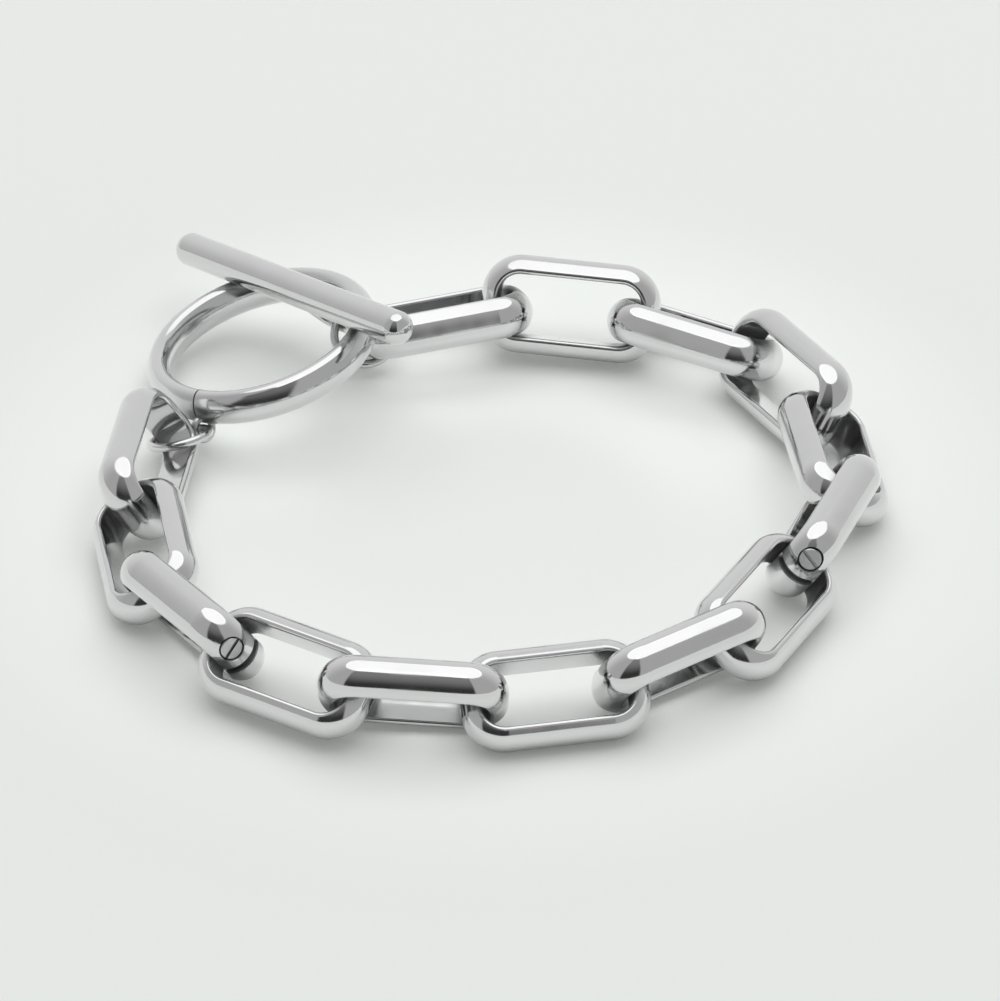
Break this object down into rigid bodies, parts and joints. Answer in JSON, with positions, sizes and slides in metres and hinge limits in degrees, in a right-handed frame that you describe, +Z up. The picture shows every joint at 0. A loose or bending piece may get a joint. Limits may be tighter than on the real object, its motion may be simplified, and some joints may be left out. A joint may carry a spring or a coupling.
{
  "type": "link bracelet",
  "caption": "Bracelet of rounded, domed metal links that interlock at quarter turns, closed by a ring and bar clasp and lying as a loop.",
  "frame": {"origin": "on the surface that the bracelet lies on, below the middle of its outline seen from above", "axes": "+Z up from the surface; the clasp lies at -X +Y, and the picture's camera looks along +Y and down"},
  "size_m": [0.072, 0.0714, 0.014],
  "materials": {
    "link_metal": "mirror-polished steel",
    "clasp_metal": "mirror-polished steel",
    "screw_metal": "polished steel with a cut slot"
  },
  "bodies": {
    "root": {"link_a": "link_metal", "link_b": "link_metal", "link_c": "link_metal", "link_d": "link_metal", "link_e": "link_metal", "link_f": "link_metal", "link_g": "link_metal", "link_h": "link_metal", "link_i": "link_metal", "link_j": "link_metal", "link_k": "link_metal", "link_l": "link_metal", "link_m": "link_metal", "link_n": "link_metal", "screw_c": "screw_metal", "screw_i": "screw_metal", "clasp_ring": "clasp_metal", "clasp_bar": "clasp_metal", "jump_ring_a": "clasp_metal", "jump_ring_b": "clasp_metal", "jump_ring_c": "clasp_metal"}
  },
  "joints": []
}
